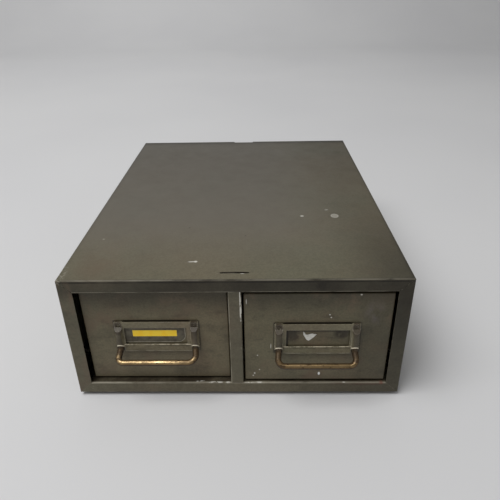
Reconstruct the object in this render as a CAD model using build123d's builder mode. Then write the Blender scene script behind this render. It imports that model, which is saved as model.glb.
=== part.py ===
from build123d import *
from math import radians, tan
import os

# A sheet-steel card cabinet with two drawers side by side. Millimetres.
# +X is to the right seen from the front, +Y towards the back, +Z up.
# The origin is on the floor, under the middle of the whole cabinet, handles included.

# ---- Cabinet body -------------------------------------------------------------------
body_width = 400.0
body_depth = 510.0
body_height = 168.0
sheet = 1.0                # steel gauge of the body
bend_radius = 1.5          # outside radius of the front bends
crown_radius = 1.5         # outside radius of the long bends between top and sides
top_flange = 16.0
bottom_flange = 16.0
side_flange = 16.5
ledge_depth = 14.0         # the bottom flange turns back under the drawer fronts
ledge_lip = 4.0            # and down again
lintel_return = 9.0        # the top flange turns back over the drawer fronts
lintel_end_gap = 1.0       # and stops short of the side flanges
mitre_gap = 0.3            # open seam where two flanges meet at a corner
mitre_margin = 3.0         # the top seams stop short of the outer corner
base_side_flange = 12.0
back_inset = 2.0
back_flange = 10.0
notch_width = 37.0         # shallow notch in the top's rear edge
notch_depth = 4.0

# ---- Middle of the body -------------------------------------------------------------
post_width = 15.4
post_depth = 15.0
post_bend = 1.5
tab_width = 32.0           # the post's tab reaches up into a slot in the top
tab_drop = 0.8             # and stops below the top's surface
slot_width = 33.2
slot_length = 2.8
tab_bracket_gap = 2.0      # between the drawer fronts and the post's wide head
partition_flange = 10.0

# ---- Feet ---------------------------------------------------------------------------
foot_height = 5.0
foot_radius = 10.0
foot_top_radius = 9.0
foot_bevel = 0.8
foot_side_inset = 30.0
foot_end_inset = 42.0
rivet_radius = 2.0
rivet_head_radius = 3.8
rivet_head = 1.0
rivet_recess = 1.6         # the lower head sits up inside the rubber
rivet_clearance = 0.05

# ---- Drawers ------------------------------------------------------------------------
side_gap = 2.2
left_drift = 1.2           # the left drawer sits this far right of its opening's middle
bottom_gap = 2.7
top_gap = 4.5
shut_recess = 8.0          # a shut drawer's face lies this far behind the frame
right_ajar = 5.0           # the right drawer stands this far short of shut
front_depth = 12.0         # the drawer front is a pan with turned-back edges
front_bend = 1.5
drawer_sheet = 1.0
drawer_rear_gap = 2.0      # between a shut drawer and the back panel's turned-in edges
tray_side_height = 72.0
tray_lift = 1.3            # tray floor above the pan's lower edge
hem_height = 8.0
tray_front_flange = 10.0
back_panel_flange = 9.0

# ---- Runners ------------------------------------------------------------------------
rail_width = 5.0           # flange of the drawer rail
rail_inset = 0.5           # the rail's edge inside the drawer front's side
rail_leg = 12.0
rail_height = 17.0         # above the tray's underside
rail_front_gap = 4.0       # behind the drawer's pan
running_gap = 0.25
mouth_gap = 0.7            # between the rail's leg and the runner's lips
runner_space = 6.0         # inside height of the runner
runner_front = 30.0        # runner's front end behind the frame
stop_height = 3.5          # tab that the rail's lug meets when the drawer is right out
stop_clearance = 0.3
lug_height = 4.25
lug_length = 12.0
lug_setback = 46.0         # rear of the lug from the drawer's rear

# ---- Label holder and bail ----------------------------------------------------------
holder_height = 43.5
holder_base = 44.3         # lower edge above the drawer front's lower edge
holder_sheet = 1.0
card_slot = 2.0            # space behind the holder's plate
window_width = 74.5
window_height = 24.5
window_rise = 10.5         # window's lower edge above the holder's lower edge
window_corner = 1.0
barrel_spacing = 90.0
barrel_width = 8.6
barrel_wall = 0.6
barrel_spread = 1.0        # the flanks run out to a wider foot
barrel_rise = 4.2          # lower end of the barrels above the holder's lower edge
mouth_cut = 8.2            # the lower end is cut back, so that the wire can bend forward
mouth_lip = 0.6
tab_height = 7.2           # flattened upper end of each barrel, where it is riveted
tab_depth = 3.2            # in front of the drawer's face
tab_ramp = 3.0
tab_corner = 2.6
wire_diameter = 7.4
wire_clearance = 0.05
wire_backing = 0.3         # between the wire's bore and the drawer's face
wire_end_gap = 12.0        # top of the wire below the barrel's top
elbow_rise = 6.3           # the wire's first bend above the holder's lower edge
bail_slope = 46.0          # degrees forward from straight down
bail_reach = 17.0          # bar in front of the drawer's face
bail_elbow = 6.5
dimple_radius = 2.7
dimple_floor = 2.0         # above the drawer's face
dimple_drop = 4.6          # dimple below the barrel's top
holder_rivet_radius = 1.4
holder_rivet_head = 2.3
holder_rivet_height = 0.8

# The two sets were bent and riveted on by hand: the left bail is spread at its left end,
# the right holder sits a little lower, and their windows are a little off the middle.
left_window_shift = -1.4
left_flare = (3.1, 1.5)    # left and right end of the bar outside the barrels
left_corner = (5.5, 9.5)
right_window_shift = 0.9
right_flare = (1.5, 2.1)
right_corner = (8.0, 8.0)
right_holder_drop = 0.4
right_bail_drop = 1.0      # and the wire hangs this much lower in its barrels

# ---- What is left of the labels -----------------------------------------------------
tape_width = 53.0
tape_height = 9.0
tape_sheet = 0.4
tape_shift = -3.0          # tape's middle from the drawer's middle
tape_lift = 14.7           # tape's middle above the window's lower edge
scrap_sheet = 0.3
scrap_outline = (          # corners of the torn paper, from the window's middle
    (-16.4, 8.2),
    (-14.6, 6.7),
    (-13.2, 3.8),
    (-10.8, 3.7),
    (-5.6, 5.4),
    (-0.6, 4.0),
    (-3.8, 0.2),
    (-8.0, -3.9),
    (-9.7, -5.1),
    (-12.0, -3.9),
    (-13.8, -0.5),
    (-16.0, 3.7),
)

# ---- Follower (card compressor) -----------------------------------------------------
track_width = 6.0          # slot in the tray floor
track_front = 50.0         # slot's front end behind the drawer's face
track_rear = 18.0          # slot's rear end before the drawer's rear
follower_side_gap = 3.5
follower_height = 92.0
follower_base = 58.0
follower_lean = 11.0       # degrees back from upright
follower_flange = 9.0
follower_end_gap = 6.0
guide_pitch = 34.0
guide_clearance = 0.3
guide_radius = 5.5
guide_head = 1.0
gusset = 26.0

# ---- Places that follow from the sizes above ----------------------------------------
half_width = body_width / 2
base_z = foot_height
top_z = base_z + body_height
opening_bottom = base_z + bottom_flange
opening_top = top_z - top_flange
opening_side = half_width - side_flange
post_side = post_width / 2
opening_width = opening_side - post_side
drawer_x = (opening_side + post_side) / 2
front_width = opening_width - 2 * side_gap
front_bottom = opening_bottom + bottom_gap
front_top = opening_top - top_gap
wire_radius = wire_diameter / 2
wire_y = wire_radius + wire_clearance + wire_backing   # wire's centre before the face
bail_front = bail_reach + wire_radius
handle_overhang = bail_front - (shut_recess - right_ajar)
front_y = handle_overhang - (body_depth + handle_overhang) / 2
back_y = front_y + body_depth

drawer_length = body_depth - shut_recess - back_inset - back_flange - drawer_rear_gap
tray_z = front_bottom + drawer_sheet + tray_lift
tray_side = front_width / 2 - rail_inset - rail_width - drawer_sheet
card_side = tray_side - drawer_sheet
hem_side = tray_side + drawer_sheet
rail_z = tray_z + rail_height
rail_side = tray_side + drawer_sheet
rail_edge = rail_side + rail_width
runner_floor = rail_z - running_gap
runner_top = runner_floor + runner_space
runner_mouth = rail_side + mouth_gap
runner_start = front_y + runner_front
runner_end = front_y + shut_recess + drawer_length + stop_clearance
lug_rear = drawer_length - lug_setback
lug_front = lug_rear - lug_length
drawer_travel = front_y + shut_recess + lug_front - runner_start - sheet - stop_clearance

barrel_x = barrel_spacing / 2
barrel_foot = barrel_width / 2 + barrel_spread
barrel_depth = wire_y + wire_radius + barrel_wall
plate_front = card_slot + holder_sheet
plate_side = barrel_x - barrel_width / 2
bail_fall = (bail_reach - wire_y) / tan(radians(bail_slope))

floor_z = tray_z + drawer_sheet
follower_width = 2 * (card_side - follower_side_gap)
guide_half = track_width / 2 - guide_clearance
follower_rear = drawer_length - drawer_sheet - follower_end_gap
follower_front = follower_rear - follower_base
follower_travel = follower_front - guide_radius - track_front - follower_end_gap


def front_plane(y):
    """A plane that faces the front: its x is X and its y is Z."""
    return Plane(origin=(0, y, 0), x_dir=(1, 0, 0), z_dir=(0, -1, 0))


def side_plane(x):
    """A plane that faces right: its x is Y and its y is Z."""
    return Plane(origin=(x, 0, 0), x_dir=(0, 1, 0), z_dir=(1, 0, 0))


def floor_plane(z):
    """A plane that faces up: its x is X and its y is Y."""
    return Plane(origin=(0, 0, z), x_dir=(1, 0, 0), z_dir=(0, 0, 1))


def box_between(low, high, mode=Mode.ADD):
    """A block from its low corner to its high corner."""
    middle = (Vector(*low) + Vector(*high)) * 0.5
    size = Vector(*high) - Vector(*low)
    with Locations(middle):
        Box(size.X, size.Y, size.Z, mode=mode)


def pan_block(low, high, closed, inset, bend):
    """A pan's space, drawn in by inset; its face is at the front (-1) or the back (1)."""
    near = (low[0] + inset, low[1] + (inset if closed < 0 else 0), low[2] + inset)
    far = (high[0] - inset, high[1] - (inset if closed > 0 else 0), high[2] - inset)
    with BuildPart() as block:
        box_between(near, far)
        side_edges = block.edges().filter_by(Axis.Y)
        face_edges = block.faces().sort_by(Axis.Y)[0 if closed < 0 else -1].edges()
        fillet(side_edges + face_edges, radius=bend - inset)
    return block


def save(piece, name):
    piece.part.label = name
    export_step(piece.part, f"parts/{name}.step")
    print(name, len(piece.part.solids()), round(piece.part.volume, 1))


# ---- Cabinet pieces -----------------------------------------------------------------

def wrap_block(inset):
    """The space inside the folded wrap, drawn in from its outer surface by inset."""
    side = half_width - inset
    with BuildPart() as block:
        with BuildSketch(front_plane(front_y + inset)) as mouth:
            with BuildLine():
                Polyline(
                    (-side, base_z),
                    (side, base_z),
                    (side, top_z - inset),
                    (-side, top_z - inset),
                    close=True,
                )
            make_face()
            fillet(mouth.vertices().group_by(Axis.Y)[-1], radius=crown_radius - inset)
        extrude(amount=-body_depth)
        front_edges = block.faces().sort_by(Axis.Y)[0].edges()
        fillet(front_edges.sort_by(Axis.Z)[1:], radius=bend_radius - inset)
    return block


def make_outer_shell():
    with BuildPart() as outer_shell:
        add(wrap_block(0).part)
        add(wrap_block(sheet).part, mode=Mode.SUBTRACT)
        # The mouth: the side flanges end in mitres over the base's front flange.
        with BuildSketch(front_plane(front_y)):
            with BuildLine():
                Polyline(
                    (-opening_side, opening_top),
                    (opening_side, opening_top),
                    (opening_side, opening_bottom),
                    (opening_side + bottom_flange, base_z),
                    (-opening_side - bottom_flange, base_z),
                    (-opening_side, opening_bottom),
                    close=True,
                )
            make_face()
        extrude(amount=-bend_radius * 2, mode=Mode.SUBTRACT)
        # Turned-back lintels over the two openings.
        for side in (-1, 1):
            lintel_x = sorted((side * post_side, side * (opening_side - lintel_end_gap)))
            box_between(
                (lintel_x[0], front_y, opening_top),
                (lintel_x[1], front_y + lintel_return, opening_top + sheet),
            )
        # Open seams at the two upper corners.
        for side in (-1, 1):
            reach = top_flange - mitre_margin
            with BuildSketch(front_plane(front_y)):
                with BuildLine():
                    Polyline(
                        (side * (opening_side - mitre_gap), opening_top),
                        (side * opening_side, opening_top - mitre_gap),
                        (side * (opening_side + reach), opening_top + reach - mitre_gap),
                        (side * (opening_side + reach - mitre_gap), opening_top + reach),
                        close=True,
                    )
                make_face()
            extrude(amount=-sheet, mode=Mode.SUBTRACT)
        # Slot for the post's tab, and the notch in the rear edge.
        box_between(
            (-slot_width / 2, front_y + post_depth - slot_length / 2, top_z - sheet),
            (slot_width / 2, front_y + post_depth + slot_length / 2, top_z),
            mode=Mode.SUBTRACT,
        )
        box_between(
            (-notch_width / 2, back_y - notch_depth, top_z - sheet),
            (notch_width / 2, back_y, top_z),
            mode=Mode.SUBTRACT,
        )
    return outer_shell


def make_base_panel():
    inner_side = half_width - sheet
    with BuildPart() as base_panel:
        with BuildSketch(side_plane(-inner_side)):
            with BuildLine():
                FilletPolyline(
                    (back_y, base_z),
                    (front_y, base_z),
                    (front_y, opening_bottom),
                    (front_y + ledge_depth, opening_bottom),
                    (front_y + ledge_depth, opening_bottom - ledge_lip),
                    radius=bend_radius,
                )
                offset(amount=sheet, side=Side.RIGHT)
            make_face()
        extrude(amount=2 * inner_side)
        # Turned-up sides, spot welded inside the wrap.
        for side in (-1, 1):
            flange_x = sorted((side * inner_side, side * (inner_side - sheet)))
            box_between(
                (flange_x[0], front_y + ledge_depth + base_side_flange, base_z),
                (flange_x[1], back_y, base_z + base_side_flange),
            )
        # Mitred ends of the front flange, and reliefs inside the wrap's corner bends.
        for side in (-1, 1):
            with BuildSketch(front_plane(front_y)):
                with BuildLine():
                    Polyline(
                        (side * opening_side, opening_bottom),
                        (side * (opening_side + bottom_flange), base_z),
                        (side * half_width, base_z),
                        (side * half_width, opening_bottom),
                        close=True,
                    )
                make_face()
            extrude(amount=-(ledge_depth + sheet), mode=Mode.SUBTRACT)
            relief_x = sorted((side * (half_width - bend_radius - sheet / 2), side * half_width))
            box_between(
                (relief_x[0], front_y, base_z),
                (relief_x[1], front_y + bend_radius + sheet, opening_bottom),
                mode=Mode.SUBTRACT,
            )
        with Locations(*foot_places(base_z)):
            Cylinder(
                rivet_radius + rivet_clearance,
                sheet,
                align=(Align.CENTER, Align.CENTER, Align.MIN),
                mode=Mode.SUBTRACT,
            )
    return base_panel


def make_back_panel():
    side = half_width - sheet
    face = back_y - back_inset
    low = (-side, face - back_flange, base_z + sheet)
    high = (side, face, top_z - sheet)
    with BuildPart() as back_panel:
        add(pan_block(low, high, 1, 0, bend_radius).part)
        add(pan_block(low, high, 1, sheet, bend_radius).part, mode=Mode.SUBTRACT)
        # Clearance round the base's turned-up sides.
        for end in (-1, 1):
            slot_x = sorted((end * side, end * (side - sheet)))
            box_between(
                (slot_x[0], face - back_flange, base_z + sheet),
                (slot_x[1], face, base_z + base_side_flange),
                mode=Mode.SUBTRACT,
            )
    return back_panel


def make_centre_partition():
    half = sheet / 2
    front = front_y + post_depth + sheet
    rear = back_y - back_inset - sheet
    with BuildPart() as centre_partition:
        with BuildSketch(front_plane(front)):
            with BuildLine():
                Polyline(
                    (-half, base_z + sheet),
                    (-half, top_z - 2 * sheet),
                    (-partition_flange, top_z - 2 * sheet),
                    (-partition_flange, top_z - sheet),
                    (half, top_z - sheet),
                    (half, base_z + 2 * sheet),
                    (partition_flange, base_z + 2 * sheet),
                    (partition_flange, base_z + sheet),
                    close=True,
                )
            make_face()
        extrude(amount=-(rear - front))
        # The flanges stop before the back panel's turned-in edges.
        for low, high in (
            (top_z - sheet - bend_radius, top_z - sheet),
            (base_z + sheet, base_z + sheet + bend_radius),
        ):
            box_between(
                (-partition_flange, rear + sheet - back_flange, low),
                (partition_flange, rear, high),
                mode=Mode.SUBTRACT,
            )
    return centre_partition


def make_centre_post():
    head_bottom = front_top + tab_bracket_gap
    with BuildPart() as centre_post:
        box_between(
            (-post_side, front_y, opening_bottom),
            (post_side, front_y + post_depth, opening_top),
        )
        front_corners = centre_post.edges().filter_by(Axis.Z).group_by(Axis.Y)[0]
        fillet(front_corners, radius=post_bend)
        box_between(
            (-post_side, front_y + sheet, opening_top),
            (post_side, front_y + post_depth, top_z - bend_radius),
        )
        # Open at the back: a channel.
        box_between(
            (-post_side + sheet, front_y + sheet, opening_bottom),
            (post_side - sheet, front_y + post_depth, top_z - sheet),
            mode=Mode.SUBTRACT,
        )
        # The wide head and its tab.
        box_between(
            (-tab_width / 2, front_y + post_depth - sheet / 2, head_bottom),
            (tab_width / 2, front_y + post_depth + sheet / 2, top_z - tab_drop),
        )
    return centre_post


def make_runner(centre, side, wall):
    """A channel on the wall at x = wall; side says which way it lies from the drawer."""
    mouth = centre + side * runner_mouth
    web = sorted((wall, wall - side * sheet))
    arm = sorted((wall, mouth))
    with BuildPart() as runner:
        box_between(
            (web[0], runner_start, runner_floor - sheet),
            (web[1], runner_end + sheet, runner_top + sheet),
        )
        for low in (runner_floor - sheet, runner_top):
            box_between(
                (arm[0], runner_start, low),
                (arm[1], runner_end + sheet, low + sheet),
            )
        # Front stop, hanging from the upper arm, and rear stop.
        box_between(
            (arm[0], runner_start, runner_top - stop_height),
            (arm[1], runner_start + sheet, runner_top),
        )
        box_between(
            (arm[0], runner_end, runner_floor),
            (arm[1], runner_end + sheet, runner_top),
        )
    return runner


def foot_places(z):
    places = []
    for side in (-1, 1):
        for y in (front_y + foot_end_inset, back_y - foot_end_inset):
            places.append((side * (half_width - foot_side_inset), y, z))
    return places


def make_foot(place):
    with BuildPart() as foot:
        with Locations(place):
            Cone(
                foot_top_radius,
                foot_radius,
                foot_height,
                align=(Align.CENTER, Align.CENTER, Align.MIN),
            )
        chamfer(foot.edges().group_by(Axis.Z)[0], length=foot_bevel)
        with Locations(place):
            Cylinder(
                rivet_radius + rivet_clearance,
                foot_height,
                align=(Align.CENTER, Align.CENTER, Align.MIN),
                mode=Mode.SUBTRACT,
            )
            Cylinder(
                rivet_head_radius + rivet_clearance,
                rivet_recess + rivet_head,
                align=(Align.CENTER, Align.CENTER, Align.MIN),
                mode=Mode.SUBTRACT,
            )
    return foot


def make_foot_rivets():
    shank_bottom = rivet_recess + rivet_head
    shank_top = base_z + sheet
    with BuildPart() as foot_rivets:
        for place in foot_places(0):
            for radius, low, high in (
                (rivet_head_radius, rivet_recess, shank_bottom),
                (rivet_radius, shank_bottom, shank_top),
                (rivet_head_radius, shank_top, shank_top + rivet_head),
            ):
                with Locations((place[0], place[1], low)):
                    Cylinder(
                        radius,
                        high - low,
                        align=(Align.CENTER, Align.CENTER, Align.MIN),
                    )
    return foot_rivets


# ---- Drawer pieces ------------------------------------------------------------------

def make_drawer_front(centre, face, holder_bottom):
    half = front_width / 2
    low = (centre - half, face, front_bottom)
    high = (centre + half, face + front_depth, front_top)
    with BuildPart() as drawer_front:
        add(pan_block(low, high, -1, 0, front_bend).part)
        add(pan_block(low, high, -1, drawer_sheet, front_bend).part, mode=Mode.SUBTRACT)
        with BuildSketch(front_plane(face)):
            with Locations(*rivet_places(centre, holder_bottom)):
                Circle(holder_rivet_radius + rivet_clearance)
        extrude(amount=-drawer_sheet, mode=Mode.SUBTRACT)
    return drawer_front


def make_drawer_tray(centre, face):
    start = face + drawer_sheet
    end = face + drawer_length - drawer_sheet
    side_top = tray_z + tray_side_height
    with BuildPart() as drawer_tray:
        with BuildSketch(front_plane(start)):
            with BuildLine():
                Polyline(
                    (centre - tray_side, tray_z),
                    (centre + tray_side, tray_z),
                    (centre + tray_side, side_top - hem_height),
                    (centre + hem_side, side_top - hem_height),
                    (centre + hem_side, side_top),
                    (centre + tray_side - drawer_sheet, side_top),
                    (centre + tray_side - drawer_sheet, floor_z),
                    (centre - tray_side + drawer_sheet, floor_z),
                    (centre - tray_side + drawer_sheet, side_top),
                    (centre - hem_side, side_top),
                    (centre - hem_side, side_top - hem_height),
                    (centre - tray_side, side_top - hem_height),
                    close=True,
                )
            make_face()
        extrude(amount=-(end - start))
        long_edges = drawer_tray.edges().filter_by(Axis.Y)
        fillet(long_edges.group_by(Axis.Z)[0], radius=drawer_sheet)
        fillet(long_edges.group_by(Axis.Z)[-1], radius=drawer_sheet * 0.45)
        # Flanges against the back of the drawer's face.
        for side in (-1, 1):
            edge = sorted((centre + side * tray_side, centre + side * (tray_side - tray_front_flange)))
            box_between((edge[0], start, floor_z), (edge[1], start + drawer_sheet, side_top))
        # The follower's guides run in a slot in the floor.
        slot_start = face + track_front
        slot_end = face + drawer_length - track_rear
        with BuildSketch(floor_plane(tray_z)):
            with Locations((centre, (slot_start + slot_end) / 2)):
                SlotOverall(slot_end - slot_start, track_width, rotation=90)
        extrude(amount=drawer_sheet, mode=Mode.SUBTRACT)
    return drawer_tray


def make_drawer_back(centre, face):
    half = tray_side - drawer_sheet
    rear = face + drawer_length
    side_top = tray_z + tray_side_height
    with BuildPart() as drawer_back:
        box_between(
            (centre - tray_side, rear - drawer_sheet, tray_z),
            (centre + tray_side, rear, side_top),
        )
        upper_corners = drawer_back.edges().filter_by(Axis.Y).group_by(Axis.Z)[-1]
        fillet(upper_corners, radius=hem_height)
        # Turned-in edges, spot welded inside the tray's sides.
        for side in (-1, 1):
            edge = sorted((centre + side * half, centre + side * (half - drawer_sheet)))
            box_between(
                (edge[0], rear - drawer_sheet - back_panel_flange, floor_z),
                (edge[1], rear - drawer_sheet, side_top - hem_height),
            )
    return drawer_back


def make_rail(centre, face, side):
    """An angle on the tray's side; its rear lug meets the runner's front stop."""
    leg = sorted((centre + side * tray_side, centre + side * rail_side))
    flange = sorted((centre + side * tray_side, centre + side * rail_edge))
    lug = sorted((centre + side * (rail_edge - drawer_sheet), centre + side * rail_edge))
    start = face + front_depth + rail_front_gap
    with BuildPart() as rail:
        box_between(
            (leg[0], start, rail_z),
            (leg[1], face + drawer_length, rail_z + rail_leg),
        )
        box_between(
            (flange[0], start, rail_z),
            (flange[1], face + drawer_length, rail_z + drawer_sheet),
        )
        front_corner = rail.edges().filter_by(Axis.Z).group_by(Axis.Y)[0]
        fillet(front_corner.sort_by(Axis.X)[0 if side < 0 else -1], radius=rail_width / 2)
        box_between(
            (lug[0], face + lug_front, rail_z + drawer_sheet),
            (lug[1], face + lug_rear, rail_z + drawer_sheet + lug_height),
        )
    return rail


def rivet_places(centre, base):
    places = []
    for side in (-1, 1):
        places.append((centre + side * barrel_x, base + holder_height - dimple_drop))
    return places


def make_label_holder(centre, face, base, window_shift):
    """Pressed from one sheet: a windowed plate between two barrels; base is its lower edge."""
    half = barrel_width / 2
    crown = face - barrel_depth
    top = base + holder_height
    barrel_bottom = base + barrel_rise
    with BuildPart() as label_holder:
        for side in (-1, 1):
            middle = centre + side * barrel_x
            # A barrel that holds one end of the bail.
            with BuildSketch(floor_plane(barrel_bottom)):
                with BuildLine():
                    Polyline(
                        (middle - half, crown + half),
                        (middle - barrel_foot, face),
                        (middle + barrel_foot, face),
                        (middle + half, crown + half),
                    )
                    ThreePointArc(
                        (middle + half, crown + half),
                        (middle, crown),
                        (middle - half, crown + half),
                    )
                make_face()
            extrude(amount=top - barrel_bottom)
            # Flattened at its top, and cut back at its lower end.
            with BuildSketch(side_plane(middle - barrel_foot)):
                with BuildLine():
                    Polyline(
                        (crown, top - tab_height - tab_ramp),
                        (face - tab_depth, top - tab_height),
                        (face - tab_depth, top),
                        (crown, top),
                        close=True,
                    )
                make_face()
                with BuildLine():
                    Polyline(
                        (face - mouth_lip, barrel_bottom),
                        (crown, barrel_bottom + mouth_cut),
                        (crown, barrel_bottom),
                        close=True,
                    )
                make_face()
            extrude(amount=2 * barrel_foot, mode=Mode.SUBTRACT)
            # Rounded upper corners.
            with BuildSketch(front_plane(crown)):
                with Locations((middle, top - tab_height / 2)):
                    Rectangle(2 * barrel_foot, tab_height)
                with Locations((middle, top - tab_height)):
                    RectangleRounded(
                        2 * barrel_foot, 2 * tab_height, tab_corner, mode=Mode.SUBTRACT
                    )
            extrude(amount=-barrel_depth, mode=Mode.SUBTRACT)
        # The plate with its window, standing off the face to leave the card slot.
        with BuildSketch(front_plane(face - card_slot)):
            with Locations((centre, base + holder_height / 2)):
                Rectangle(2 * plate_side, holder_height)
            with Locations((centre + window_shift, base + window_rise + window_height / 2)):
                RectangleRounded(window_width, window_height, window_corner, mode=Mode.SUBTRACT)
        extrude(amount=holder_sheet)
        # Closed lower edge, turned back to the face.
        box_between(
            (centre - plate_side, face - plate_front, base),
            (centre + plate_side, face, base + holder_sheet),
        )
        # Cheeks close the plate's ends.
        for side in (-1, 1):
            cheek = sorted((centre + side * plate_side, centre + side * (plate_side - holder_sheet)))
            box_between(
                (cheek[0], face - plate_front, base),
                (cheek[1], face, top - tab_height),
            )
        # Bores for the wire, dimples and rivet holes.
        with BuildSketch(floor_plane(barrel_bottom)):
            with Locations((centre - barrel_x, face - wire_y), (centre + barrel_x, face - wire_y)):
                Circle(wire_radius + wire_clearance)
        extrude(amount=top - wire_end_gap - barrel_bottom, mode=Mode.SUBTRACT)
        with BuildSketch(front_plane(crown)):
            with Locations(*rivet_places(centre, base)):
                Circle(dimple_radius)
        extrude(amount=dimple_floor - barrel_depth, mode=Mode.SUBTRACT)
        with BuildSketch(front_plane(crown)):
            with Locations(*rivet_places(centre, base)):
                Circle(holder_rivet_radius + rivet_clearance)
        extrude(amount=-barrel_depth, mode=Mode.SUBTRACT)
    return label_holder


def make_bail_handle(centre, face, base, flare, corner):
    leg_y = face - wire_y
    bar_y = face - bail_reach
    wire_top = base + holder_height - wire_end_gap
    elbow_z = base + elbow_rise
    bar_z = elbow_z - bail_fall
    left_x = centre - barrel_x
    right_x = centre + barrel_x
    with BuildPart() as bail_handle:
        with BuildLine() as wire:
            FilletPolyline(
                (left_x, leg_y, wire_top),
                (left_x, leg_y, elbow_z),
                (left_x - flare[0], bar_y, bar_z),
                (right_x + flare[1], bar_y, bar_z),
                (right_x, leg_y, elbow_z),
                (right_x, leg_y, wire_top),
                radius=[bail_elbow, corner[0], corner[1], bail_elbow],
            )
        with BuildSketch(floor_plane(wire_top)):
            with Locations((left_x, leg_y)):
                Circle(wire_radius)
        sweep(path=wire.wires()[0])
    return bail_handle


def make_holder_rivets(centre, face, base):
    seat = face - dimple_floor
    inside = face + drawer_sheet
    with BuildPart() as holder_rivets:
        for radius, front, rear in (
            (holder_rivet_head, seat - holder_rivet_height, seat),
            (holder_rivet_radius, seat, inside),
            (holder_rivet_head, inside, inside + holder_rivet_height),
        ):
            with BuildSketch(front_plane(front)):
                with Locations(*rivet_places(centre, base)):
                    Circle(radius)
            extrude(amount=front - rear)
        rims = holder_rivets.faces().filter_by(Axis.Y).group_by(Axis.Y)[0].edges()
        chamfer(rims, length=holder_rivet_height * 0.6)
    return holder_rivets


def make_label_tape(centre, face, base):
    with BuildPart() as label_tape:
        with BuildSketch(front_plane(face)):
            with Locations((centre + tape_shift, base + window_rise + tape_lift)):
                Rectangle(tape_width, tape_height)
        extrude(amount=tape_sheet)
    return label_tape


def make_paper_scrap(centre, face, base):
    middle_z = base + window_rise + window_height / 2
    with BuildPart() as paper_scrap:
        with BuildSketch(front_plane(face)):
            with Locations((centre, middle_z)):
                Polygon(*scrap_outline, align=None)
        extrude(amount=scrap_sheet)
    return paper_scrap


# ---- Follower -----------------------------------------------------------------------

def make_follower_plate(centre, face):
    """A sheet folded up from its base, leaning back, with turned edges and gussets."""
    low = floor_z + running_gap
    front = face + follower_front
    rear = face + follower_rear
    half = follower_width / 2
    lean = Plane(
        origin=(centre, front, low),
        x_dir=(1, 0, 0),
        z_dir=Vector(0, -1, 0).rotate(Axis.X, -follower_lean),
    )
    with BuildPart() as follower_plate:
        box_between(
            (centre - half * 0.6, front, low),
            (centre + half * 0.6, rear - drawer_sheet - follower_end_gap, low + drawer_sheet),
        )
        with BuildSketch(lean) as outline:
            with Locations((0, follower_height / 2)):
                Rectangle(follower_width, follower_height)
            fillet(outline.vertices().group_by(Axis.Y)[-1], radius=follower_flange)
        extrude(amount=-drawer_sheet)
        # Turned-back top edge.
        with BuildSketch(lean):
            with Locations((0, follower_height - drawer_sheet / 2)):
                Rectangle(follower_width - 2 * follower_flange, drawer_sheet)
        extrude(amount=-follower_flange)
        # Two gussets between the plate and its base.
        for side in (-1, 1):
            gusset_x = centre + side * (half * 0.6 - drawer_sheet / 2) - drawer_sheet / 2
            setback = gusset * tan(radians(follower_lean))
            with BuildSketch(side_plane(gusset_x)):
                with BuildLine():
                    Polyline(
                        (front + drawer_sheet, low + drawer_sheet),
                        (front + gusset + setback, low + drawer_sheet),
                        (front + setback + drawer_sheet / 2, low + gusset),
                        close=True,
                    )
                make_face()
            extrude(amount=drawer_sheet)
    return follower_plate


def make_follower_guides(centre, face):
    """Two headed guides that run in the slot of the tray floor."""
    low = floor_z + running_gap
    front = face + follower_front + guide_radius + follower_end_gap / 2
    below = tray_z - running_gap - guide_head
    with BuildPart() as follower_guides:
        for step in (0, guide_pitch):
            for radius, bottom, top in (
                (guide_radius, below, below + guide_head),
                (guide_half, below + guide_head, low),
            ):
                with Locations((centre, front + step, bottom)):
                    Cylinder(
                        radius,
                        top - bottom,
                        align=(Align.CENTER, Align.CENTER, Align.MIN),
                    )
    return follower_guides


# ---- The whole cabinet --------------------------------------------------------------

os.makedirs("parts", exist_ok=True)

save(make_outer_shell(), "outer_shell")
save(make_base_panel(), "base_panel")
save(make_back_panel(), "back_panel")
save(make_centre_partition(), "centre_partition")
save(make_centre_post(), "centre_post")

foot_names = ("front_left_foot", "back_left_foot", "front_right_foot", "back_right_foot")
for foot_name, foot_place in zip(foot_names, foot_places(0)):
    save(make_foot(foot_place), foot_name)
save(make_foot_rivets(), "foot_rivets")

for hand, sign, recess, drift, holder_drop, window_shift, bail_drop, flare, corner in (
    (
        "left", -1, shut_recess, left_drift,
        0.0, left_window_shift, 0.0, left_flare, left_corner,
    ),
    (
        "right", 1, shut_recess - right_ajar, 0.0,
        right_holder_drop, right_window_shift, right_bail_drop, right_flare, right_corner,
    ),
):
    centre_x = sign * drawer_x + drift
    face_y = front_y + recess
    holder_z = front_bottom + holder_base - holder_drop
    for place, side, wall_x in (
        ("outer", sign, sign * (half_width - sheet)),
        ("inner", -sign, sign * sheet / 2),
    ):
        save(make_runner(centre_x, side, wall_x), f"{hand}_{place}_runner")
        save(make_rail(centre_x, face_y, side), f"{hand}_{place}_rail")
    save(make_drawer_front(centre_x, face_y, holder_z), f"{hand}_drawer_front")
    save(make_drawer_tray(centre_x, face_y), f"{hand}_drawer_tray")
    save(make_drawer_back(centre_x, face_y), f"{hand}_drawer_back")
    save(make_label_holder(centre_x, face_y, holder_z, window_shift), f"{hand}_label_holder")
    save(
        make_bail_handle(centre_x, face_y, holder_z - bail_drop, flare, corner),
        f"{hand}_bail_handle",
    )
    save(make_holder_rivets(centre_x, face_y, holder_z), f"{hand}_holder_rivets")
    save(make_follower_plate(centre_x, face_y), f"{hand}_follower_plate")
    save(make_follower_guides(centre_x, face_y), f"{hand}_follower_guides")
    if hand == "left":
        save(make_label_tape(centre_x, face_y, holder_z), "left_label_tape")
    else:
        save(make_paper_scrap(centre_x, face_y, holder_z), "right_paper_scrap")

print("drawer travel", round(drawer_travel, 3), "follower travel", round(follower_travel, 3))
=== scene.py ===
from math import radians

import bpy
from mathutils import Matrix, Vector


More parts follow.
